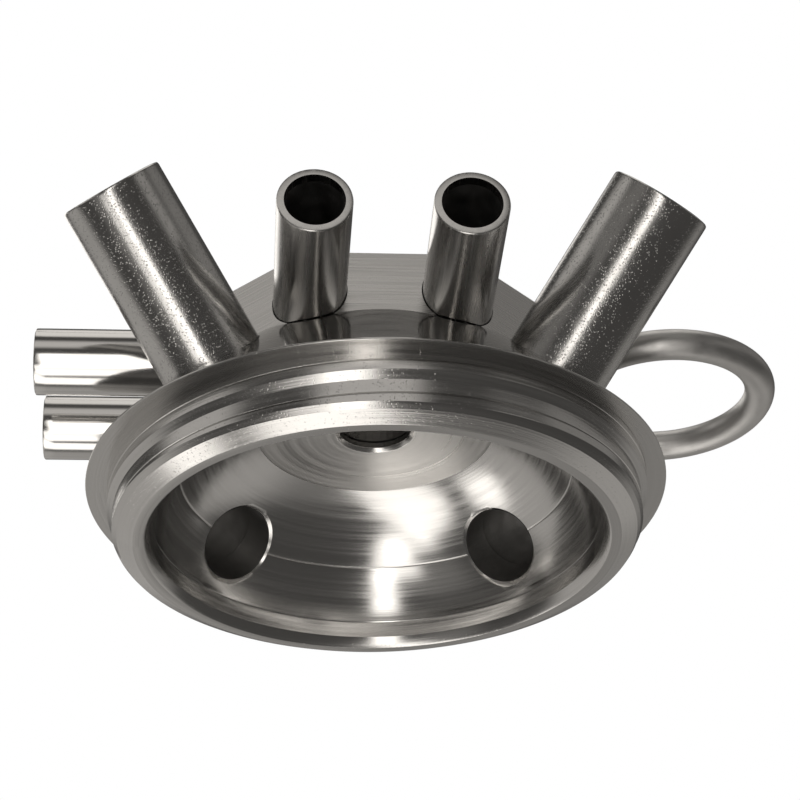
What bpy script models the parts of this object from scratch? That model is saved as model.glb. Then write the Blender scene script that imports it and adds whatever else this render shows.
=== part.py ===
"""Stainless-steel top cover of a milking claw, opening downwards, at its real size.

Metres, +Z up. The lip of the screwed neck lies on z = 0 and the cover is symmetric about y = 0.
Milk enters through four large inlets. Pulsating air enters through two long nipples on the -X side,
crosses a closed chamber that a partition splits in two, and leaves through four short nipples. A wire
ring on the +X side hangs the claw up.
"""

import math

import bmesh
import bpy
from mathutils import Matrix, Vector

GAP = 0.0003
SEGMENTS = 72
TUBE_SEGMENTS = 32
CHAMFER = 0.0004

# Screwed neck: two low ridges below the flange, each with a groove round it
LOWER_RIDGE_R = 0.0364
LOWER_RIDGE_Z = (0.0020, 0.0044)
UPPER_RIDGE_R = 0.0373
UPPER_RIDGE_BASE_Z = 0.0063
GROOVE_HALF_WIDTH = 0.0002
GROOVE_DEPTH = 0.0004
NECK_BASE_R = 0.0359
NECK_BASE_Z = 0.0017

# Lip: a narrow flat ring between a wide outer cone and a small inner chamfer
LIP_CONE_R = 0.0355
LIP_CONE_Z = 0.00105
LIP_FLAT_R = (0.0319, 0.0333)
LIP_CHAMFER_R = 0.03145
LIP_CHAMFER_Z = 0.00045

# Flange, whose rim is where the shoulder's cone starts
FLANGE_R = 0.0400
FLANGE_Z = 0.00835
CONE_BASE_Z = 0.0086
CONE_SLOPE = 0.95
CONE_TOP_R = 0.0240

# Inside of the bowl: an elliptical dome cut off by a flat ceiling
BOWL_R = 0.0310
DOME_BASE_Z = 0.0014
DOME_HEIGHT = 0.0201
CEILING_Z = 0.0183
DOME_STEPS = 10
CENTRE_HOLE_R = 0.0050

# Eight-sided block with the air chamber
BLOCK_APOTHEM = 0.0255
BLOCK_TOP_Z = 0.0314
BLOCK_BASE_Z = 0.0204
CHAMBER_APOTHEM = 0.0218
CHAMBER_FLOOR_Z = 0.0204
LID_APOTHEM = 0.0228
LID_THICKNESS = 0.0010
PARTITION_THICKNESS = 0.0015

# Closed guide bush over the centre hole
GUIDE_OUTER_R = 0.0070
GUIDE_TOP_Z = 0.0276
GUIDE_SEAT_DEPTH = 0.0008
GUIDE_BORE_TOP_Z = 0.0261

# Large milk inlets, midway between the main axes
INLET_OUTER_R = 0.0070
INLET_BORE_R = 0.0056
INLET_PASSAGE_R = 0.0055
INLET_ELEVATION = math.radians(43.6)
INLET_END_RADIUS = 0.0510
INLET_END_Z = 0.0335
INLET_SEAT_DEPTH = 0.0013

# Short air nipples along Y
SHORT_X = 0.0099
SHORT_Z = 0.0254
SHORT_OUTER_R = 0.00485
SHORT_BORE_R = 0.0039
SHORT_END_Y = 0.0454
SHORT_INNER_Y = 0.0205

# Long air nipples along X
LONG_Y = 0.0089
LONG_Z = 0.0238
LONG_OUTER_R = 0.0046
LONG_BORE_R = 0.0037
LONG_REACH = 0.0470
LONG_INNER_X = 0.0215

# Hanging ring
RING_R = 0.0140
WIRE_R = 0.00215
RING_Z = 0.0249
RING_EMBED = 0.0004
RING_SEGMENTS = 48
WIRE_SEGMENTS = 12

RING_X = BLOCK_APOTHEM - RING_EMBED + WIRE_R + RING_R
# Puts the middle of the whole length, from long nipples to ring, over the origin.
AXIS_X = (LONG_REACH - (RING_X + RING_R + WIRE_R)) / 2

INLET_AZIMUTHS = {"front_left": 225, "front_right": 315, "back_left": 135, "back_right": 45}


def clear_scene():
    for obj in list(bpy.data.objects):
        bpy.data.objects.remove(obj, do_unlink=True)


def steel(name, shade, roughness):
    """Plain stainless steel of one grey shade and roughness."""
    material = bpy.data.materials.new(name)
    material.use_nodes = True
    shader = material.node_tree.nodes["Principled BSDF"]
    shader.inputs["Base Color"].default_value = (shade, shade * 0.98, shade * 0.95, 1)
    shader.inputs["Metallic"].default_value = 1
    shader.inputs["Roughness"].default_value = roughness
    return material


def add_object(name, bm, material=None, smooth_angle=30):
    """The bmesh as a named object. With no material it is a cutter, hidden from renders."""
    mesh = bpy.data.meshes.new(name)
    bm.to_mesh(mesh)
    bm.free()
    mesh.shade_smooth()
    mesh.set_sharp_from_angle(angle=math.radians(smooth_angle))
    obj = bpy.data.objects.new(name, mesh)
    bpy.context.scene.collection.objects.link(obj)
    if material:
        mesh.materials.append(material)
    else:
        obj.hide_render = True
        obj.display_type = "WIRE"
    return obj


def lathe(profile, segments, matrix=None):
    """A closed (radius, height) outline turned a full circle about Z. A point may lie on the axis."""
    bm = bmesh.new()
    corners = [bm.verts.new((radius, 0, height)) for radius, height in profile]
    pairs = zip(corners, corners[1:] + corners[:1])
    edges = [bm.edges.new((a, b)) for a, b in pairs if a.co.x > 0 or b.co.x > 0]
    bmesh.ops.spin(
        bm,
        geom=corners + edges,
        cent=(0, 0, 0),
        axis=(0, 0, 1),
        angle=math.tau,
        steps=segments,
        use_merge=True,
    )
    bmesh.ops.remove_doubles(bm, verts=bm.verts, dist=1e-6)
    bmesh.ops.recalc_face_normals(bm, faces=bm.faces)
    if matrix:
        bm.transform(matrix)
    return bm


def along(start, direction):
    """Matrix that carries the Z axis onto a line from start."""
    turn = Vector(direction).to_track_quat("Z", "Y").to_matrix().to_4x4()
    return Matrix.Translation(start) @ turn


def rod(radius, start, direction, length, segments=TUBE_SEGMENTS):
    return lathe([(0, 0), (radius, 0), (radius, length), (0, length)], segments, along(start, direction))


def octagon(apothem, low_z, high_z):
    """Eight-sided prism about the cover's axis, with flats square to X, to Y and to the diagonals."""
    bm = bmesh.new()
    radius = apothem / math.cos(math.pi / 8)
    made = bmesh.ops.create_cone(
        bm,
        cap_ends=True,
        segments=8,
        radius1=radius,
        radius2=radius,
        depth=high_z - low_z,
        matrix=Matrix.Translation((AXIS_X, 0, (low_z + high_z) / 2)),
    )
    turn = Matrix.Rotation(math.pi / 8, 3, "Z")
    bmesh.ops.rotate(bm, verts=made["verts"], cent=(AXIS_X, 0, 0), matrix=turn)
    return bm


def box(low, high):
    bm = bmesh.new()
    size = Vector(high) - Vector(low)
    middle = (Vector(high) + Vector(low)) / 2
    bmesh.ops.create_cube(bm, size=1, matrix=Matrix.Translation(middle) @ Matrix.Diagonal((*size, 1)))
    return bm


def boolean(obj, cutter, operation="DIFFERENCE"):
    modifier = obj.modifiers.new(cutter.name, "BOOLEAN")
    modifier.operation = operation
    modifier.solver = "EXACT"
    modifier.object = cutter


def cone_height(radius):
    return CONE_BASE_Z + CONE_SLOPE * (FLANGE_R - radius)


def dome_radius(height):
    return BOWL_R * math.sqrt(1 - ((height - DOME_BASE_Z) / DOME_HEIGHT) ** 2)


def inlet_direction(azimuth):
    turn = math.radians(azimuth)
    flat = math.cos(INLET_ELEVATION)
    return Vector((flat * math.cos(turn), flat * math.sin(turn), math.sin(INLET_ELEVATION)))


def inlet_end(azimuth):
    turn = math.radians(azimuth)
    return Vector(
        (AXIS_X + INLET_END_RADIUS * math.cos(turn), INLET_END_RADIUS * math.sin(turn), INLET_END_Z)
    )


# An inlet's length outside the cone, along its axis, and with the part sunk in its seat.
INLET_TO_CONE = (INLET_END_Z - cone_height(INLET_END_RADIUS)) / (
    math.sin(INLET_ELEVATION) + CONE_SLOPE * math.cos(INLET_ELEVATION)
)
INLET_TO_SEAT = INLET_TO_CONE + INLET_SEAT_DEPTH


def ridge(radius, low_z, high_z):
    """Outside of a ridge of the neck, with a V groove round its middle."""
    middle = (low_z + high_z) / 2
    return [
        (radius, low_z),
        (radius, middle - GROOVE_HALF_WIDTH),
        (radius - GROOVE_DEPTH, middle),
        (radius, middle + GROOVE_HALF_WIDTH),
        (radius, high_z),
    ]


def cover_profile():
    """Outline of the turned cover: neck, flange, cone, top, centre hole, ceiling, dome, lip."""
    outside = [
        (LIP_FLAT_R[1], 0),
        (LIP_CONE_R, LIP_CONE_Z),
        (NECK_BASE_R, NECK_BASE_Z),
        *ridge(LOWER_RIDGE_R, *LOWER_RIDGE_Z),
        *ridge(UPPER_RIDGE_R, UPPER_RIDGE_BASE_Z, FLANGE_Z),
        (FLANGE_R, FLANGE_Z),
        (FLANGE_R, CONE_BASE_Z),
    ]
    top = [
        (CONE_TOP_R, cone_height(CONE_TOP_R)),
        (CENTRE_HOLE_R, cone_height(CONE_TOP_R)),
        (CENTRE_HOLE_R, CEILING_Z + CHAMFER),
        (CENTRE_HOLE_R + CHAMFER, CEILING_Z),
    ]
    drop = (CEILING_Z - DOME_BASE_Z) / DOME_STEPS
    heights = [CEILING_Z - drop * step for step in range(DOME_STEPS + 1)]
    dome = [(dome_radius(z), z) for z in heights]
    return outside + top + dome + [(LIP_CHAMFER_R, LIP_CHAMFER_Z), (LIP_FLAT_R[0], 0)]


def cover_body(material):
    centre = Matrix.Translation((AXIS_X, 0, 0))
    body = add_object("cover_body", lathe(cover_profile(), SEGMENTS, centre), material)
    boolean(body, add_object("block", octagon(BLOCK_APOTHEM, BLOCK_BASE_Z, BLOCK_TOP_Z)), "UNION")
    boolean(body, add_object("chamber", octagon(CHAMBER_APOTHEM, CHAMBER_FLOOR_Z, BLOCK_TOP_Z + 0.002)))
    lid_seat_z = BLOCK_TOP_Z - LID_THICKNESS - GAP
    boolean(body, add_object("lid_seat", octagon(LID_APOTHEM + GAP, lid_seat_z, BLOCK_TOP_Z + 0.001)))
    guide_seat = rod(GUIDE_OUTER_R + GAP, (AXIS_X, 0, CHAMBER_FLOOR_Z - GUIDE_SEAT_DEPTH), (0, 0, 1), 0.003)
    boolean(body, add_object("guide_seat", guide_seat))
    for name, azimuth in INLET_AZIMUTHS.items():
        end, inwards = inlet_end(azimuth), -inlet_direction(azimuth)
        seat = rod(INLET_OUTER_R + GAP, end, inwards, INLET_TO_SEAT + GAP)
        passage = rod(INLET_PASSAGE_R, end + inwards * INLET_TO_CONE, inwards, 0.016)
        boolean(body, add_object("inlet_seat_" + name, seat))
        boolean(body, add_object("inlet_passage_" + name, passage))
    for side in (-1, 1):
        for end in (-1, 1):
            inwards = (0, -end, 0)
            tag = f"{side}_{end}"
            mouth = (AXIS_X + side * SHORT_X, end * SHORT_END_Y, SHORT_Z)
            seat = rod(SHORT_OUTER_R + GAP, mouth, inwards, SHORT_END_Y - SHORT_INNER_Y + GAP)
            passage = rod(SHORT_BORE_R, mouth, inwards, SHORT_END_Y - 0.0150)
            boolean(body, add_object("short_seat_" + tag, seat))
            boolean(body, add_object("short_passage_" + tag, passage))
        mouth = (AXIS_X - LONG_REACH, side * LONG_Y, LONG_Z)
        seat = rod(LONG_OUTER_R + GAP, mouth, (1, 0, 0), LONG_REACH - LONG_INNER_X + GAP)
        passage = rod(LONG_BORE_R, mouth, (1, 0, 0), LONG_REACH - 0.0170)
        boolean(body, add_object(f"long_seat_{side}", seat))
        boolean(body, add_object(f"long_passage_{side}", passage))
    boolean(body, add_object("ring_seat", torus(WIRE_R + GAP)))


def tube(name, material, end, inwards, length, outer_r, bore_r):
    """A straight tube from its free end inwards, with lightly chamfered rims."""
    edge = (outer_r - bore_r) / 4
    profile = [
        (bore_r, edge),
        (bore_r + edge, 0),
        (outer_r - edge, 0),
        (outer_r, edge),
        (outer_r, length),
        (bore_r, length),
    ]
    add_object(name, lathe(profile, TUBE_SEGMENTS, along(end, inwards)), material)


def milk_inlets(material):
    for name, azimuth in INLET_AZIMUTHS.items():
        end, inwards = inlet_end(azimuth), -inlet_direction(azimuth)
        tube("milk_inlet_" + name, material, end, inwards, INLET_TO_SEAT, INLET_OUTER_R, INLET_BORE_R)


def air_nipples(material):
    short_length = SHORT_END_Y - SHORT_INNER_Y
    long_length = LONG_REACH - LONG_INNER_X
    for row, end in (("front", -1), ("back", 1)):
        for column, side in (("left", -1), ("right", 1)):
            mouth = (AXIS_X + side * SHORT_X, end * SHORT_END_Y, SHORT_Z)
            name = f"short_nipple_{row}_{column}"
            tube(name, material, mouth, (0, -end, 0), short_length, SHORT_OUTER_R, SHORT_BORE_R)
        mouth = (AXIS_X - LONG_REACH, end * LONG_Y, LONG_Z)
        tube(f"long_nipple_{row}", material, mouth, (1, 0, 0), long_length, LONG_OUTER_R, LONG_BORE_R)


def torus(wire_r):
    """The ring's wire as a closed lathe about the ring's own upright axis."""
    angles = [math.tau * step / WIRE_SEGMENTS for step in range(WIRE_SEGMENTS)]
    section = [(RING_R + wire_r * math.cos(a), wire_r * math.sin(a)) for a in angles]
    return lathe(section, RING_SEGMENTS, Matrix.Translation((AXIS_X + RING_X, 0, RING_Z)))


def distributor_lid(material):
    low_z = BLOCK_TOP_Z - LID_THICKNESS
    add_object("distributor_lid", octagon(LID_APOTHEM, low_z, BLOCK_TOP_Z), material)


def distributor_partition(material):
    """Wall across the chamber on y = 0, with a notch that straddles the guide bush."""
    reach = CHAMBER_APOTHEM - GAP
    half = PARTITION_THICKNESS / 2
    low = (AXIS_X - reach, -half, CHAMBER_FLOOR_Z + GAP)
    high = (AXIS_X + reach, half, BLOCK_TOP_Z - LID_THICKNESS - 2 * GAP)
    wall = add_object("distributor_partition", box(low, high), material)
    notch = GUIDE_OUTER_R + GAP
    notch_low = (AXIS_X - notch, -0.0020, CHAMBER_FLOOR_Z - 0.0010)
    notch_high = (AXIS_X + notch, 0.0020, GUIDE_TOP_Z + GAP)
    boolean(wall, add_object("partition_notch", box(notch_low, notch_high)))


def centre_guide(material):
    """Blind bush that carries the centre hole on upwards and closes it."""
    base_z = CHAMBER_FLOOR_Z - GUIDE_SEAT_DEPTH + GAP
    profile = [
        (CENTRE_HOLE_R, base_z),
        (GUIDE_OUTER_R, base_z),
        (GUIDE_OUTER_R, GUIDE_TOP_Z - CHAMFER),
        (GUIDE_OUTER_R - CHAMFER, GUIDE_TOP_Z),
        (0, GUIDE_TOP_Z),
        (0, GUIDE_BORE_TOP_Z),
        (CENTRE_HOLE_R, GUIDE_BORE_TOP_Z),
    ]
    centre = Matrix.Translation((AXIS_X, 0, 0))
    add_object("centre_guide", lathe(profile, TUBE_SEGMENTS, centre), material)


def build():
    clear_scene()
    cover_body(steel("turned_steel", 0.60, 0.22))
    distributor_lid(steel("sheet_steel", 0.58, 0.35))
    distributor_partition(steel("partition_steel", 0.50, 0.40))
    centre_guide(steel("guide_steel", 0.50, 0.30))
    milk_inlets(steel("satin_tube_steel", 0.56, 0.28))
    air_nipples(steel("polished_tube_steel", 0.60, 0.20))
    add_object("hanging_ring", torus(WIRE_R), steel("blasted_wire_steel", 0.55, 0.45))


build()
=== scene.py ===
"""Studio picture of a milking claw's stainless-steel top cover.

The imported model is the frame. Detailed pieces stand in for its plain solids at the same sizes and places:
a turned cover with a real helical thread, drawn tubes with rounded rims, a blasted wire ring and a brushed
lid. Metres, +Z up, with the lip of the neck on z = 0.
"""

import math

import bmesh
import bpy
import numpy as np
from mathutils import Matrix, Vector

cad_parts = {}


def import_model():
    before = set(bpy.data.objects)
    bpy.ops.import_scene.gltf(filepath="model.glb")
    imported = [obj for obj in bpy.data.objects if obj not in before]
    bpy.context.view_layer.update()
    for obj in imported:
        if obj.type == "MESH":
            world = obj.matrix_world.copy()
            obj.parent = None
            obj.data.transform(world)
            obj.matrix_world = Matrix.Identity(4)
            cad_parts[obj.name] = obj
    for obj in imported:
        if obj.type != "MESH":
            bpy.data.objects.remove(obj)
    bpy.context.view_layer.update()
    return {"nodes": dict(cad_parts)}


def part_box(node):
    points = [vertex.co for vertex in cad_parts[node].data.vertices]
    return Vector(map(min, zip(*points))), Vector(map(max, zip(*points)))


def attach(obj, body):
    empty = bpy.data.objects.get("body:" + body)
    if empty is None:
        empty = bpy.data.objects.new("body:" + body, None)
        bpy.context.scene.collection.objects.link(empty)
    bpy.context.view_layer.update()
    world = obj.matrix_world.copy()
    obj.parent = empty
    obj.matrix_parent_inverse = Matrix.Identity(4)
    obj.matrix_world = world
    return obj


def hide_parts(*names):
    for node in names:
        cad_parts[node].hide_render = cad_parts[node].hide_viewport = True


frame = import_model()

LOW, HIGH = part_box("cover_body")
AXIS_X = (LOW.x + HIGH.x) / 2
SEAM = 0.00012  # visible gap round a tube where it enters the body
EDGE = 0.00015  # rounding of turned and milled edges
OVERSHOOT = 0.001  # how far a cutter reaches past the face it cuts

# Neck and its right-hand thread. FLANK_Z is where the thread's lower flank crosses the azimuth START.
NECK_BASE_R = 0.0359
NECK_BASE_Z = 0.0017
THREAD_PITCH = 0.0042
THREAD_START = math.radians(-93)
FLANK_Z = 0.0053
FLANK_WIDTH = 0.0009
THREAD_GROOVE_Z = 0.0018
THREAD_GROOVE_HALF = 0.00014
THREAD_GROOVE_DEPTH = 0.00028
# Radius of the thread's crest along its winding: (turns after START, radius)
CREST = ((-1.1, 0.0358), (0, 0.03625), (0.5, 0.03655), (1, 0.03725), (1.9, 0.03735))
ROWS_PER_TURN = 56

# Lip: a narrow flat ring between a wide outer cone and a small inner chamfer
LIP_CONE_R = 0.0355
LIP_CONE_Z = 0.00105
LIP_FLAT_R = (0.0319, 0.0333)
LIP_CHAMFER_R = 0.03145
LIP_CHAMFER_Z = 0.00045

FLANGE_R = 0.0400
FLANGE_Z = 0.00835
CONE_BASE_Z = 0.0086
CONE_SLOPE = 0.95
CONE_TOP_R = 0.0240

BOWL_R = 0.0310
DOME_BASE_Z = 0.0014
DOME_HEIGHT = 0.0201
CEILING_Z = 0.0183
# Fine lines that the tool left round the dome: (height, half width, depth)
TOOL_LINES = ((0.0110, 0.00016, 0.00009), (0.0037, 0.00014, 0.00005))
CENTRE_HOLE_R = 0.0050
HOLE_CHAMFER = 0.0005

BLOCK_APOTHEM = 0.0255
BLOCK_TOP_Z = 0.0314
BLOCK_BASE_Z = 0.0204
CHAMBER_APOTHEM = 0.0218
CHAMBER_FLOOR_Z = 0.0204
LID_APOTHEM = 0.0228
LID_THICKNESS = 0.0010
GUIDE_SEAT_R = 0.0073
GUIDE_SEAT_Z = 0.0196
GUIDE_CUT_TOP_Z = 0.0229

INLET_OUTER_R = 0.0070
INLET_BORE_R = 0.0056
INLET_PASSAGE_R = 0.0055
INLET_ELEVATION = math.radians(43.6)
INLET_END_RADIUS = 0.0510
INLET_END_Z = 0.0335
INLET_SEAT_DEPTH = 0.0013
INLET_TO_DOME = 0.0343
INLET_HOLE_Z = 0.0110  # height of a milk passage's middle where it enters the dome
CHAMFER_START = 0.0002
CHAMFER_SQUEEZE = 0.96  # the chamfer's height over its width, for an even rim on the curved dome
INLET_AZIMUTHS = {"front_left": 225, "front_right": 315, "back_left": 135, "back_right": 45}

SHORT_X = 0.0099
SHORT_Z = 0.0254
SHORT_OUTER_R = 0.00485
SHORT_BORE_R = 0.0039
SHORT_END_Y = 0.0454
SHORT_INNER_Y = 0.0205
SHORT_LENGTH = SHORT_END_Y - SHORT_INNER_Y
SHORT_PASSAGE_END_Y = 0.0150

LONG_Y = 0.0089
LONG_Z = 0.0238
LONG_OUTER_R = 0.0046
LONG_BORE_R = 0.0037
LONG_REACH = 0.0470
LONG_INNER_X = 0.0215
LONG_LENGTH = LONG_REACH - LONG_INNER_X
LONG_PASSAGE_END_X = 0.0170

RING_R = 0.0140
WIRE_R = 0.00215
RING_Z = 0.0249
RING_EMBED = 0.0004
RING_X = BLOCK_APOTHEM - RING_EMBED + WIRE_R + RING_R

BODY_SEGMENTS = 288
TUBE_SEGMENTS = 96
WIRE_SEGMENTS = 48
OUTLINE_STEP = 0.0012  # longest steps along the outlines of the body and the tubes
TUBE_STEP = 0.0015

# Steel: noise scales are in waves per metre
TINT = (1, 0.985, 0.962)
FINE_RINGS = 3600
COARSE_RINGS = 1500
RING_DRIFT = 0.00008  # a very little of the angle in the rings, so that they are not quite round
TURNED_PITS = 3400
SATIN_GRAIN = 5200
SATIN_PITS = 3900
BLASTED_GRAIN = 3600
BLOTCHES = 90

# Camera: below the cover, looking up into it
VIEW_AZIMUTH = math.radians(4.496)
VIEW_ELEVATION = math.radians(31.197)
VIEW_ROLL = math.radians(-1.573)
VIEW_DISTANCE = 0.320
VIEW_TARGET = Vector((AXIS_X + 0.003634, 0, 0.023841))
VIEW_LENS = 101.316

STUDIO_CENTRE = Vector((AXIS_X, 0, 0.02))
LIGHT_DIRECTION = (-40, 76)  # azimuth, elevation
LIGHT_DISTANCE = 0.7
LIGHT_SIZE = 0.9
LIGHT_POWER = 9
FLOOR_RADIUS = 2.0
FLOOR_Z = -0.0001
ROOM_BRIGHTNESS = 0.075
ROOM_TINT = (1, 0.965, 0.92, 1)
# Reflectors round the cover: azimuth, elevation, width, height, brightness, softness of the edge
REFLECTORS = (
    (-97, -26, 13, 44, 2.5, 6),  # key, low in front, which widens downwards to the left
    (-106, -58, 32, 34, 1.7, 10),
    (-126, -69, 50, 20, 1.3, 10),
    (-132, -36, 30, 34, 0.12, 20),
    (140, -77, 150, 24, 1.9, 6),  # below, on the left
    (140, -50, 28, 13, 1.7, 5),  # low window behind
    (132, -24, 72, 62, 0.40, 20),  # pale wall behind
    (64, -20, 70, 62, 0.22, 20),
    (113, 34, 24, 28, 1.6, 10),  # high window behind
    (-96, 31, 44, 26, 0.58, 14),  # above the camera
    (8, 34, 50, 30, 0.18, 16),
    (-176, 30, 40, 34, 0.50, 18),
    (-40, 78, 350, 24, 0.9, 10),  # overhead
    (46, -46, 34, 62, 0.16, 14),  # on the right
    (-34, 15, 22, 24, 0.30, 10),
    (-137, 8, 30, 30, 0.15, 14),  # on the left
)


# ---------------------------------------------------------------- mesh code


def add_object(name, bm):
    mesh = bpy.data.meshes.new(name)
    bm.to_mesh(mesh)
    bm.free()
    obj = bpy.data.objects.new(name, mesh)
    bpy.context.scene.collection.objects.link(obj)
    return obj


def soften(outline, radius, closed=True, steps=3):
    """A (radius, height) outline with each corner turned into a small arc. An open one keeps its ends."""
    points = [Vector(p) for p in outline]
    before, after = points[-1:] + points[:-1], points[1:] + points[:1]
    rounded = []
    for index, (last, corner, following) in enumerate(zip(before, points, after)):
        into, out = corner - last, following - corner
        end = not closed and index in (0, len(points) - 1)
        if end or into.angle(out) < math.radians(20) or corner.x == 0:
            rounded.append(corner)
            continue
        cut = min(radius * math.tan(into.angle(out) / 2), into.length * 0.45, out.length * 0.45)
        start, stop = corner - into.normalized() * cut, corner + out.normalized() * cut
        for t in (step / steps for step in range(steps + 1)):
            rounded.append(start.lerp(corner, t).lerp(corner.lerp(stop, t), t))
    return [tuple(p) for p in rounded]


def spaced(outline, length):
    """The outline with points added so that no step of it is longer than length."""
    points = [Vector(p) for p in outline]
    filled = []
    for start, end in zip(points, points[1:]):
        count = max(1, math.ceil((end - start).length / length))
        filled += [tuple(start.lerp(end, step / count)) for step in range(count)]
    return filled + [tuple(points[-1])]


def sweep(columns):
    """Closed surface through columns of (x, y, z) points. The last column lies on the first."""
    bm = bmesh.new()
    made = [[bm.verts.new(p) for p in column] for column in columns]
    for left, right in zip(made, made[1:]):
        for row in range(len(left)):
            corners = (left[row - 1], right[row - 1], right[row], left[row])
            if len({v.co.to_tuple(9) for v in corners}) > 2:
                bm.faces.new(corners)
    bmesh.ops.remove_doubles(bm, verts=bm.verts, dist=2e-7)
    bmesh.ops.recalc_face_normals(bm, faces=bm.faces)
    return bm


def lathe(outline, segments, matrix=None):
    """A closed (radius, height) outline turned a full circle about Z."""
    angles = [math.tau * (i % segments) / segments for i in range(segments + 1)]
    bm = sweep([[(r * math.cos(a), r * math.sin(a), z) for r, z in outline] for a in angles])
    if matrix:
        bm.transform(matrix)
    return bm


def along(start, direction):
    """Matrix that carries the Z axis onto a line from start."""
    turn = Vector(direction).to_track_quat("Z", "Y").to_matrix().to_4x4()
    return Matrix.Translation(start) @ turn


def octagon(levels, bevel=0.0):
    """Eight-sided prism through (apothem, z) levels from the bottom up, with flats facing X and Y."""
    bm = bmesh.new()
    loops = []
    for apothem, z in levels:
        radius = apothem / math.cos(math.pi / 8)
        turns = [math.pi / 8 + math.pi / 4 * i for i in range(8)]
        loops.append(
            [bm.verts.new((AXIS_X + radius * math.cos(a), radius * math.sin(a), z)) for a in turns]
        )
    for low, high in zip(loops, loops[1:]):
        for i in range(8):
            bm.faces.new((low[i], low[(i + 1) % 8], high[(i + 1) % 8], high[i]))
    bm.faces.new(loops[0][::-1])
    bm.faces.new(loops[-1])
    bmesh.ops.recalc_face_normals(bm, faces=bm.faces)
    if bevel:
        bmesh.ops.bevel(bm, geom=bm.edges, offset=bevel, segments=2, profile=0.5, affect="EDGES")
    return bm


def merged(name, parts):
    """Several bmeshes as one object."""
    bm = bmesh.new()
    for part in parts:
        mesh = bpy.data.meshes.new(name)
        part.to_mesh(mesh)
        part.free()
        bm.from_mesh(mesh)
        bpy.data.meshes.remove(mesh)
    return add_object(name, bm)


def carve(obj, cutter, operation="DIFFERENCE"):
    """Applies an exact Boolean and removes the cutter. The cutter's faces keep their own material."""
    modifier = obj.modifiers.new("carve", "BOOLEAN")
    modifier.operation = operation
    modifier.solver = "EXACT"
    modifier.material_mode = "TRANSFER"
    modifier.object = cutter
    graph = bpy.context.evaluated_depsgraph_get()
    mesh = bpy.data.meshes.new_from_object(obj.evaluated_get(graph))
    obj.modifiers.clear()
    obj.data = mesh
    bpy.data.objects.remove(cutter)


def finish_piece(obj, node, smooth_angle=32):
    """Smooth shading with crisp edges, and the piece's place in the frame."""
    obj.data.shade_smooth()
    obj.data.set_sharp_from_angle(angle=math.radians(smooth_angle))
    weighted = obj.modifiers.new("weighted_normals", "WEIGHTED_NORMAL")
    weighted.keep_sharp = True
    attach(obj, "root")
    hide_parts(node)
    return obj


# ---------------------------------------------------------------- materials


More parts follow.
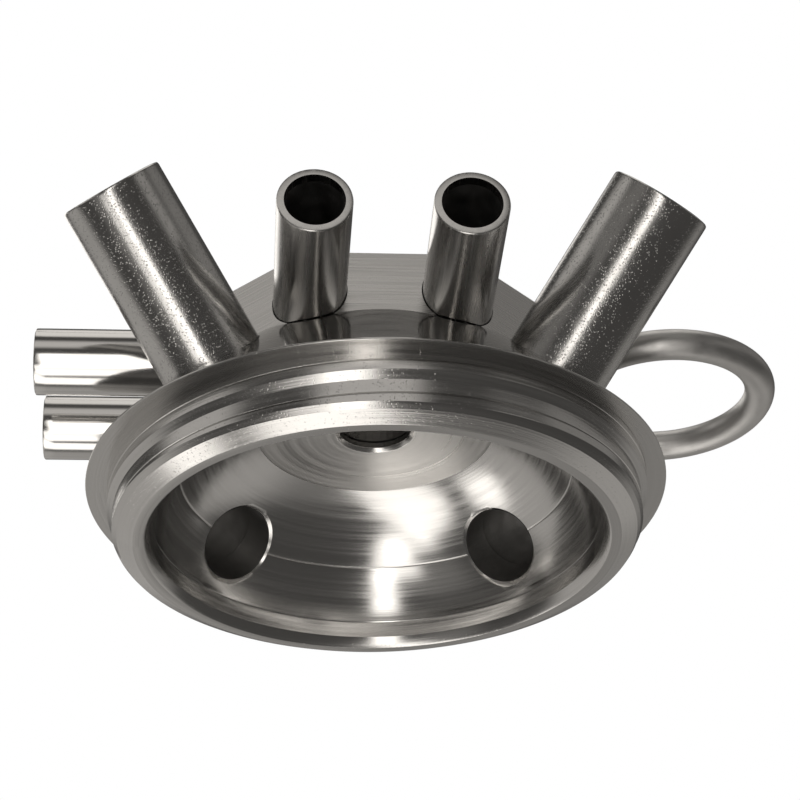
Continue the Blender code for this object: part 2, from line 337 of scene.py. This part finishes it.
class Nodes:
    """Short calls for building the node tree of a material or a world."""

    def __init__(self, owner, coordinates="Object"):
        owner.use_nodes = True
        self.owner = owner
        self.tree = owner.node_tree
        self.place = self.add("ShaderNodeTexCoord").outputs[coordinates]

    def add(self, kind, **settings):
        node = self.tree.nodes.new(kind)
        for key, value in settings.items():
            setattr(node, key, value)
        return node

    def put(self, value, socket):
        """Links a socket, or sets a plain value."""
        if isinstance(value, bpy.types.NodeSocket):
            self.tree.links.new(value, socket)
        else:
            socket.default_value = value

    def math(self, operation, *values):
        node = self.add("ShaderNodeMath", operation=operation)
        for value, socket in zip(values, node.inputs):
            self.put(value, socket)
        return node.outputs[0]

    def vector(self, operation, first, second):
        node = self.add("ShaderNodeVectorMath", operation=operation)
        self.put(first, node.inputs[0])
        self.put(second, node.inputs[1])
        return node.outputs["Value" if operation == "DOT_PRODUCT" else "Vector"]

    def noise(self, vector, scale, detail=2.0, roughness=0.5):
        node = self.add("ShaderNodeTexNoise")
        self.put(vector, node.inputs["Vector"])
        node.inputs["Scale"].default_value = scale
        node.inputs["Detail"].default_value = detail
        node.inputs["Roughness"].default_value = roughness
        return node.outputs["Fac"]

    def spots(self, scale, size):
        """Small round spots of uneven strength, 0 between them."""
        node = self.add("ShaderNodeTexVoronoi", feature="F1")
        self.put(self.place, node.inputs["Vector"])
        node.inputs["Scale"].default_value = scale
        strength = self.math("POWER", node.outputs["Color"], 3.0)
        return self.math("MULTIPLY", self.remap(node.outputs["Distance"], size, size * 0.5, 0, 1), strength)

    def remap(self, value, from_low, from_high, to_low, to_high, smooth=False):
        node = self.add("ShaderNodeMapRange", interpolation_type="SMOOTHSTEP" if smooth else "LINEAR")
        given = (value, from_low, from_high, to_low, to_high)
        for each, key in zip(given, ("Value", "From Min", "From Max", "To Min", "To Max")):
            self.put(each, node.inputs[key])
        return node.outputs["Result"]

    def about_axis(self):
        """(distance from the cover's axis, height, a little of the angle), which makes noise into rings."""
        split = self.add("ShaderNodeSeparateXYZ")
        self.put(self.place, split.inputs[0])
        x = self.math("SUBTRACT", split.outputs["X"], AXIS_X)
        y = split.outputs["Y"]
        square = self.math("ADD", self.math("MULTIPLY", x, x), self.math("MULTIPLY", y, y))
        radius = self.math("SQRT", square)
        join = self.add("ShaderNodeCombineXYZ")
        self.put(radius, join.inputs["X"])
        self.put(split.outputs["Z"], join.inputs["Y"])
        self.put(self.math("MULTIPLY", self.math("ARCTAN2", y, x), RING_DRIFT), join.inputs["Z"])
        return join.outputs[0]

    def steel(self, shade, roughness, relief, depth, pattern=None, variation=0.04):
        """Steel whose shade follows a pattern, or soft blotches, with relief of a depth in metres."""
        shader = self.tree.nodes["Principled BSDF"]
        share = self.remap(pattern or self.noise(self.place, BLOTCHES, detail=3), 0.3, 0.7, 0, 1)
        colour = self.add("ShaderNodeMixRGB")
        self.put(share, colour.inputs["Fac"])
        for key, level in (("Color1", shade - variation), ("Color2", shade + variation)):
            colour.inputs[key].default_value = (*(level * part for part in TINT), 1)
        self.put(colour.outputs[0], shader.inputs["Base Color"])
        self.put(roughness, shader.inputs["Roughness"])
        shader.inputs["Metallic"].default_value = 1
        bump = self.add("ShaderNodeBump")
        bump.inputs["Strength"].default_value = 1
        bump.inputs["Distance"].default_value = depth
        self.put(relief, bump.inputs["Height"])
        self.put(bump.outputs["Normal"], shader.inputs["Normal"])
        return self.owner


def turned_steel(name, shade, roughness, depth, stretch=0.5, sparkle=0.0):
    """Lathe-turned face: fine rings about the axis, which stretch highlights across themselves."""
    n = Nodes(bpy.data.materials.new(name))
    rings = n.about_axis()
    fine = n.noise(rings, FINE_RINGS, detail=2)
    coarse = n.noise(rings, COARSE_RINGS, detail=3, roughness=0.6)
    relief = n.math("ADD", fine, coarse)
    if sparkle:
        pits = n.math("MULTIPLY", n.spots(TURNED_PITS, 0.36), sparkle)
        relief = n.math("SUBTRACT", relief, pits)
    spread = n.remap(coarse, 0.35, 0.65, roughness * 0.75, roughness * 1.3)
    material = n.steel(shade, spread, relief, depth, coarse, 0.035)
    shader = n.tree.nodes["Principled BSDF"]
    shader.inputs["Anisotropic"].default_value = stretch
    shader.inputs["Anisotropic Rotation"].default_value = 0.25
    tangent = n.add("ShaderNodeTangent", direction_type="RADIAL", axis="Z")
    n.put(tangent.outputs[0], shader.inputs["Tangent"])
    return material


def grained_steel(name, shade, roughness, depth, stretch, detail=2):
    """Lines drawn, milled or brushed one way: noise stretched by a small value on that axis."""
    n = Nodes(bpy.data.materials.new(name))
    lines = n.noise(n.vector("MULTIPLY", n.place, stretch), 1, detail)
    spread = n.remap(lines, 0.3, 0.7, roughness * 0.75, roughness * 1.3)
    return n.steel(shade, spread, lines, depth, lines)


def satin_steel(name, shade, roughness, depth, sparkle=0):
    """Satin face: a close grain, with scattered tiny pits that sparkle."""
    n = Nodes(bpy.data.materials.new(name))
    grain = n.noise(n.place, SATIN_GRAIN, detail=2)
    pits = n.math("MULTIPLY", n.spots(SATIN_PITS, 0.42), sparkle)
    spread = n.remap(n.noise(n.place, 400, detail=3), 0.3, 0.7, roughness * 0.8, roughness * 1.2)
    return n.steel(shade, spread, n.math("SUBTRACT", grain, pits), depth)


def blasted_steel(name, shade, roughness, depth):
    """Bead-blasted wire."""
    n = Nodes(bpy.data.materials.new(name))
    grain = n.noise(n.place, BLASTED_GRAIN, detail=3, roughness=0.7)
    spread = n.remap(n.noise(n.place, 500), 0.3, 0.7, roughness * 0.85, roughness * 1.15)
    return n.steel(shade, spread, grain, depth)


# Name, shade, roughness, depth of the relief in metres
TURNED = turned_steel("turned_bowl_steel", 0.61, 0.20, 0.000008)
# The ceiling's faced steel has its shade painted lighter than the bowl's, for the light that falls on it; its
# rougher facing is its own finish.
FACED_LIGHTENED = turned_steel("faced_ceiling_steel_painted_lighter", 0.74, 0.36, 0.000003, stretch=0.2)
NECK = turned_steel("turned_neck_steel", 0.58, 0.20, 0.000012, stretch=0.3, sparkle=1.5)
POLISHED = turned_steel("polished_cone_steel", 0.58, 0.10, 0.0000015, stretch=0.2)
MILLED = grained_steel("milled_block_steel", 0.58, 0.28, 0.000010, (70, 70, 4200), detail=3)
SATIN = satin_steel("satin_tube_steel", 0.54, 0.19, 0.000004, sparkle=13)
DRAWN_Y = grained_steel("drawn_short_steel", 0.60, 0.23, 0.000002, (1800, 40, 1800))
DRAWN_X = grained_steel("drawn_long_steel", 0.62, 0.14, 0.000002, (40, 1800, 1800))
BLASTED = blasted_steel("blasted_wire_steel", 0.60, 0.44, 0.000014)
BRUSHED = grained_steel("brushed_lid_steel", 0.60, 0.30, 0.000006, (60, 4200, 4200), detail=3)
# The bores' dull steel has its shade painted darker, for the shade inside them; its roughness is its own
# finish.
SHADED_BORE = satin_steel("dull_bore_steel_painted_shade", 0.40, 0.42, 0.000006)
RIM = satin_steel("cut_rim_steel", 0.62, 0.20, 0.000001)
PLAIN = satin_steel("machined_inner_steel", 0.50, 0.32, 0.000006)


# ---------------------------------------------------------------- cover body


def cone_height(radius):
    return CONE_BASE_Z + CONE_SLOPE * (FLANGE_R - radius)


def crest_radius(turns):
    places, radii = zip(*CREST)
    return np.interp(turns, places, radii)


def neck_radius(azimuth, z):
    """Outside of the neck: crests that step outwards at each flank of a tapered right-hand thread."""
    about = (azimuth - THREAD_START) / math.tau
    climb = (z - FLANK_Z) / THREAD_PITCH - about
    turn = math.floor(climb)
    above = (climb - turn) * THREAD_PITCH
    here, half = about + turn + 1, FLANK_WIDTH / 2
    radius = crest_radius(here)
    if above < half:
        radius = np.interp(above, (-half, half), (crest_radius(here - 1), radius))
    elif THREAD_PITCH - above < half:
        radius = np.interp(above - THREAD_PITCH, (-half, half), (radius, crest_radius(here + 1)))
    groove = 1 - abs(above - THREAD_GROOVE_Z) / THREAD_GROOVE_HALF
    return radius - THREAD_GROOVE_DEPTH * max(0.0, groove)


def dome_point(tilt, depth=0.0):
    return (BOWL_R + depth) * math.cos(tilt), DOME_BASE_Z + (DOME_HEIGHT + depth) * math.sin(tilt)


def cover_outline():
    """Outline from the flange's rim over the top, down the centre hole and the dome, to the lip's flat."""
    cone_top = cone_height(CONE_TOP_R)
    tilts = np.linspace(math.asin((CEILING_Z - DOME_BASE_Z) / DOME_HEIGHT), 0, 45)
    dome = [dome_point(a) for a in tilts]
    for height, half, depth in TOOL_LINES:
        tilt = math.asin((height - DOME_BASE_Z) / DOME_HEIGHT)
        turn = half / BOWL_R
        dome = [p for p in dome if abs(p[1] - height) > 2 * half]
        dome += [dome_point(tilt + turn), dome_point(tilt, depth), dome_point(tilt - turn)]
    dome.sort(key=lambda p: -p[1])
    corners = [
        (crest_radius(1), FLANGE_Z),
        (FLANGE_R, FLANGE_Z),
        (FLANGE_R, CONE_BASE_Z),
        (CONE_TOP_R, cone_top),
        (CENTRE_HOLE_R, cone_top),
        (CENTRE_HOLE_R, CEILING_Z + HOLE_CHAMFER),
        (CENTRE_HOLE_R + HOLE_CHAMFER, CEILING_Z),
        *dome,
        (LIP_CHAMFER_R, LIP_CHAMFER_Z),
        (LIP_FLAT_R[0], 0),
        (LIP_FLAT_R[1], 0),
        (LIP_CONE_R, LIP_CONE_Z),
        (NECK_BASE_R, NECK_BASE_Z),
    ]
    return spaced(soften(corners, EDGE, closed=False)[1:-1], OUTLINE_STEP)


def cover_columns():
    """Sections of the turned cover. The neck's rows climb one pitch in a turn, as its thread does."""
    step = THREAD_PITCH / ROWS_PER_TURN
    flank = FLANK_Z - THREAD_PITCH * (THREAD_START + math.pi) / math.tau
    start = flank - math.ceil((flank + THREAD_PITCH - NECK_BASE_Z) / step) * step
    rows = start + step * np.arange(math.ceil((FLANGE_Z - start) / step) + 1)
    columns = []
    for i in range(BODY_SEGMENTS + 1):
        azimuth = math.tau * (i % BODY_SEGMENTS) / BODY_SEGMENTS - math.pi
        heights = np.clip(rows + THREAD_PITCH * i / BODY_SEGMENTS, NECK_BASE_Z, FLANGE_Z)
        section = [(neck_radius(azimuth, z), z) for z in heights] + cover_outline()
        columns.append([(r * math.cos(azimuth), r * math.sin(azimuth), z) for r, z in section])
    return columns


def passage(end, inwards, seat, through, outer_r, bore_r):
    """Cutter for a tube's seat and the bore beyond it."""
    socket = [(0, -OVERSHOOT), (outer_r + SEAM, -OVERSHOOT), (outer_r + SEAM, seat), (bore_r, seat)]
    return lathe([*socket, (bore_r, through), (0, through)], TUBE_SEGMENTS, along(end, inwards))


def countersink(azimuth):
    """Cutter for the chamfer of a milk passage, square to the dome."""
    height = INLET_HOLE_Z - DOME_BASE_Z
    radius = BOWL_R * math.sqrt(1 - (height / DOME_HEIGHT) ** 2)
    tilt = math.atan2(height / DOME_HEIGHT**2, radius / BOWL_R**2)
    x, y = math.cos(math.radians(azimuth)), math.sin(math.radians(azimuth))
    inwards = -Vector((math.cos(tilt) * x, math.cos(tilt) * y, math.sin(tilt)))
    low, high = INLET_PASSAGE_R - OVERSHOOT, INLET_PASSAGE_R + 2 * OVERSHOOT
    start = CHAMFER_START - OVERSHOOT
    stop = start + high - low
    place = along((AXIS_X + radius * x, radius * y, INLET_HOLE_Z), inwards)
    squeeze = Matrix.Diagonal((1, CHAMFER_SQUEEZE, 1, 1))
    return lathe([(0, start), (low, start), (high, stop), (0, stop)], TUBE_SEGMENTS, place @ squeeze)


def inlet_axis(azimuth):
    """(free end, direction inwards) of a milk inlet."""
    turn, flat = math.radians(azimuth), math.cos(INLET_ELEVATION)
    x, y = math.cos(turn), math.sin(turn)
    end = Vector((AXIS_X + INLET_END_RADIUS * x, INLET_END_RADIUS * y, INLET_END_Z))
    return end, -Vector((flat * x, flat * y, math.sin(INLET_ELEVATION)))


def inlet_to_seat():
    slope = math.sin(INLET_ELEVATION) + CONE_SLOPE * math.cos(INLET_ELEVATION)
    return (INLET_END_Z - cone_height(INLET_END_RADIUS)) / slope + INLET_SEAT_DEPTH


def short_mouth(side, end):
    return Vector((AXIS_X + side * SHORT_X, end * SHORT_END_Y, SHORT_Z))


def long_mouth(side):
    return Vector((AXIS_X - LONG_REACH, side * LONG_Y, LONG_Z))


def ring_loop(wire_r, wire_steps):
    """Loop of round wire, with four times as many sides along it as round it."""
    angles = [math.tau * i / wire_steps for i in range(wire_steps)]
    section = [(RING_R + wire_r * math.cos(a), wire_r * math.sin(a)) for a in angles]
    return lathe(section, 4 * wire_steps, Matrix.Translation((AXIS_X + RING_X, 0, RING_Z)))


def cutter(name, material, *parts):
    obj = merged(name, parts)
    obj.data.materials.append(material)
    return obj


def finish_turned_faces(body):
    """Polished steel for the cone, faced steel painted lighter for the light on the dome's ceiling, and its
    own for the outside of the neck.
    """
    places = {}
    for material in (POLISHED, NECK, FACED_LIGHTENED):
        places[material] = len(body.data.materials)
        body.data.materials.append(material)
    for face in body.data.polygons:
        if body.data.materials[face.material_index] != TURNED:
            continue
        across = Vector((face.center.x - AXIS_X, face.center.y))
        if face.normal.z > 0.1:
            face.material_index = places[POLISHED]
        elif across.length > LIP_CHAMFER_R or face.normal.xy.dot(across) > 0:
            face.material_index = places[NECK]
        # The ceiling's faces take the faced steel whose shade is painted lighter.
        elif face.normal.z < -0.99 and face.center.z > CEILING_Z - EDGE:
            face.material_index = places[FACED_LIGHTENED]


def cover_body():
    """The turned cover with its milled block, then everything that is cut into it."""
    columns = sweep(cover_columns())
    columns.transform(Matrix.Translation((AXIS_X, 0, 0)))
    body = add_object("turned_cover", columns)
    body.data.materials.append(TURNED)
    block = octagon([(BLOCK_APOTHEM, BLOCK_BASE_Z), (BLOCK_APOTHEM, BLOCK_TOP_Z)], EDGE)
    carve(body, cutter("block", MILLED, block), "UNION")
    lid_seat = BLOCK_TOP_Z - LID_THICKNESS - SEAM
    levels = [
        (CHAMBER_APOTHEM, CHAMBER_FLOOR_Z),
        (CHAMBER_APOTHEM, lid_seat),
        (LID_APOTHEM + SEAM, lid_seat),
        (LID_APOTHEM + SEAM, BLOCK_TOP_Z + OVERSHOOT),
    ]
    carve(body, cutter("chamber", PLAIN, octagon(levels)))
    inlets = []
    for azimuth in INLET_AZIMUTHS.values():
        end, inwards = inlet_axis(azimuth)
        inlets.append(passage(end, inwards, inlet_to_seat(), INLET_TO_DOME, INLET_OUTER_R, INLET_PASSAGE_R))
    # The passages' cut faces take the bore steel, painted darker for the shade inside them.
    carve(body, cutter("inlets", SHADED_BORE, *inlets, ring_loop(WIRE_R + SEAM, WIRE_SEGMENTS // 2)))
    carve(body, cutter("countersinks", RIM, *map(countersink, INLET_AZIMUTHS.values())))
    low, high = GUIDE_SEAT_Z, GUIDE_CUT_TOP_Z
    guide = [(0, low), (GUIDE_SEAT_R, low), (GUIDE_SEAT_R, high), (0, high)]
    nipples = [lathe(guide, TUBE_SEGMENTS, Matrix.Translation((AXIS_X, 0, 0)))]
    for side in (-1, 1):
        for end in (-1, 1):
            mouth, through = short_mouth(side, end), SHORT_END_Y - SHORT_PASSAGE_END_Y
            nipples.append(passage(mouth, (0, -end, 0), SHORT_LENGTH, through, SHORT_OUTER_R, SHORT_BORE_R))
        mouth, through = long_mouth(side), LONG_REACH - LONG_PASSAGE_END_X
        nipples.append(passage(mouth, (1, 0, 0), LONG_LENGTH, through, LONG_OUTER_R, LONG_BORE_R))
    # The nipples' seats and passages take the bore steel, painted darker for the shade inside them.
    carve(body, cutter("nipples", SHADED_BORE, *nipples))
    finish_turned_faces(body)
    finish_piece(body, "cover_body")


# ---------------------------------------------------------------- tubes, ring and lid


def tube(name, node, material, end, inwards, size):
    """A straight tube from its free end inwards, with rounded rims and its bore painted darker for the shade
    inside it. Its size is (length, outer_r, bore_r).
    """
    length, outer_r, bore_r = size
    wall = outer_r - bore_r
    outline = [(bore_r, 0), (outer_r, 0), (outer_r, length), (bore_r, length)]
    section = spaced(soften(outline + outline[:1], wall * 0.3, closed=False), TUBE_STEP)[:-1]
    obj = add_object(name, lathe(section, TUBE_SEGMENTS, along(end, inwards)))
    obj.data.materials.append(material)
    obj.data.materials.append(SHADED_BORE)
    axis = Vector(inwards).normalized()
    for face in obj.data.polygons:
        from_end = face.center - Vector(end)
        along_axis = from_end.dot(axis)
        inside = (from_end - axis * along_axis).length < bore_r + wall * 0.05
        # Faces inside the bore, past one wall from the end, take the steel painted darker for shade.
        face.material_index = int(inside and along_axis > wall)
    finish_piece(obj, node)


def tubes():
    for tag, azimuth in INLET_AZIMUTHS.items():
        end, inwards = inlet_axis(azimuth)
        size = (inlet_to_seat(), INLET_OUTER_R, INLET_BORE_R)
        tube(f"satin_inlet_{tag}", f"milk_inlet_{tag}", SATIN, end, inwards, size)
    short_size = (SHORT_LENGTH, SHORT_OUTER_R, SHORT_BORE_R)
    long_size = (LONG_LENGTH, LONG_OUTER_R, LONG_BORE_R)
    for row, end in (("front", -1), ("back", 1)):
        for column, side in (("left", -1), ("right", 1)):
            name, node = f"drawn_short_{row}_{column}", f"short_nipple_{row}_{column}"
            tube(name, node, DRAWN_Y, short_mouth(side, end), (0, -end, 0), short_size)
        name, node = f"drawn_long_{row}", f"long_nipple_{row}"
        tube(name, node, DRAWN_X, long_mouth(end), (1, 0, 0), long_size)


def ring():
    obj = add_object("blasted_ring", ring_loop(WIRE_R, WIRE_SEGMENTS))
    obj.data.materials.append(BLASTED)
    finish_piece(obj, "hanging_ring")


def lid():
    low = BLOCK_TOP_Z - LID_THICKNESS
    obj = add_object("brushed_lid", octagon([(LID_APOTHEM, low), (LID_APOTHEM, BLOCK_TOP_Z)], EDGE))
    obj.data.materials.append(BRUSHED)
    finish_piece(obj, "distributor_lid")


def inner_parts():
    """The hidden partition and guide bush stay as packed, with a machined finish."""
    for node in ("distributor_partition", "centre_guide"):
        for slot in frame["nodes"][node].material_slots:
            slot.material = PLAIN


# ---------------------------------------------------------------- studio


def aim(obj, target):
    obj.rotation_euler = (Vector(target) - obj.location).to_track_quat("-Z", "Y").to_euler()


def direction(azimuth, elevation):
    a, e = math.radians(azimuth), math.radians(elevation)
    return Vector((math.cos(e) * math.cos(a), math.cos(e) * math.sin(a), math.sin(e)))


def softbox():
    """Softbox overhead for the floor. The steel mirrors the world's reflectors and not this light."""
    light = bpy.data.lights.new("overhead", "AREA")
    light.size = LIGHT_SIZE
    light.energy = LIGHT_POWER
    obj = bpy.data.objects.new("overhead", light)
    bpy.context.scene.collection.objects.link(obj)
    obj.location = STUDIO_CENTRE + direction(*LIGHT_DIRECTION) * LIGHT_DISTANCE
    aim(obj, STUDIO_CENTRE)
    obj.visible_camera = obj.visible_glossy = False


def panel(n, azimuth, elevation, width, height, brightness, soft):
    """Brightness of a soft-edged reflector. All but brightness are degrees, as seen from the cover."""
    turn = math.radians(azimuth)
    ahead = n.vector("DOT_PRODUCT", n.place, (math.cos(turn), math.sin(turn), 0))
    aside = n.vector("DOT_PRODUCT", n.place, (-math.sin(turn), math.cos(turn), 0))
    rise = n.math("ARCSINE", n.vector("DOT_PRODUCT", n.place, (0, 0, 1)))
    rise = n.math("SUBTRACT", rise, math.radians(elevation))
    level = brightness
    for away, size in ((n.math("ARCTAN2", aside, ahead), width), (rise, height)):
        outer, inner = math.radians((size + soft) / 2), math.radians((size - soft) / 2)
        share = n.remap(n.math("ABSOLUTE", away), outer, inner, 0, 1, smooth=True)
        level = n.math("MULTIPLY", share, level)
    return level


def world():
    """Dim room with reflectors round the cover, and plain white behind it in the picture."""
    sky = bpy.data.worlds.new("studio")
    bpy.context.scene.world = sky
    n = Nodes(sky, "Generated")
    level = ROOM_BRIGHTNESS
    for reflector in REFLECTORS:
        level = n.math("ADD", panel(n, *reflector), level)
    room = n.tree.nodes["Background"]
    n.put(level, room.inputs["Strength"])
    room.inputs["Color"].default_value = ROOM_TINT
    backdrop = n.add("ShaderNodeBackground")
    backdrop.inputs["Color"].default_value = (1, 1, 1, 1)
    choose = n.add("ShaderNodeMixShader")
    n.put(n.add("ShaderNodeLightPath").outputs["Is Camera Ray"], choose.inputs[0])
    n.put(room.outputs[0], choose.inputs[1])
    n.put(backdrop.outputs[0], choose.inputs[2])
    n.put(choose.outputs[0], n.tree.nodes["World Output"].inputs["Surface"])


def floor():
    """Pale floor under the lip. It shows from above only, so the low camera looks up past it."""
    bm = bmesh.new()
    bmesh.ops.create_circle(bm, cap_ends=True, radius=FLOOR_RADIUS, segments=96)
    obj = add_object("floor", bm)
    obj.location.z = FLOOR_Z
    material = bpy.data.materials.new("pale_floor")
    material.use_nodes = True
    tree = material.node_tree
    shader = tree.nodes["Principled BSDF"]
    shader.inputs["Base Color"].default_value = (0.5, 0.5, 0.5, 1)
    shader.inputs["Roughness"].default_value = 0.9
    shader.inputs["Emission Color"].default_value = (1, 1, 1, 1)
    shader.inputs["Emission Strength"].default_value = 0.45
    clear = tree.nodes.new("ShaderNodeBsdfTransparent")
    side = tree.nodes.new("ShaderNodeNewGeometry")
    choose = tree.nodes.new("ShaderNodeMixShader")
    tree.links.new(side.outputs["Backfacing"], choose.inputs[0])
    tree.links.new(shader.outputs[0], choose.inputs[1])
    tree.links.new(clear.outputs[0], choose.inputs[2])
    tree.links.new(choose.outputs[0], tree.nodes["Material Output"].inputs["Surface"])
    obj.data.materials.append(material)
    obj.visible_glossy = obj.visible_diffuse = obj.visible_shadow = False


def camera():
    data = bpy.data.cameras.new("camera")
    data.lens = VIEW_LENS
    data.sensor_width = 36
    data.clip_start = 0.01
    obj = bpy.data.objects.new("camera", data)
    bpy.context.scene.collection.objects.link(obj)
    forward = Vector(
        (
            math.sin(VIEW_AZIMUTH) * math.cos(VIEW_ELEVATION),
            math.cos(VIEW_AZIMUTH) * math.cos(VIEW_ELEVATION),
            math.sin(VIEW_ELEVATION),
        )
    )
    level = Vector((math.cos(VIEW_AZIMUTH), -math.sin(VIEW_AZIMUTH), 0))
    rise = level.cross(forward)
    right = level * math.cos(VIEW_ROLL) + rise * math.sin(VIEW_ROLL)
    up = -level * math.sin(VIEW_ROLL) + rise * math.cos(VIEW_ROLL)
    turn = Matrix((right, up, -forward)).transposed().to_4x4()
    obj.matrix_world = Matrix.Translation(VIEW_TARGET - forward * VIEW_DISTANCE) @ turn
    bpy.context.scene.camera = obj


camera()
world()
softbox()
floor()
cover_body()
tubes()
ring()
lid()
inner_parts()

bpy.context.scene.view_settings.view_transform = "Standard"
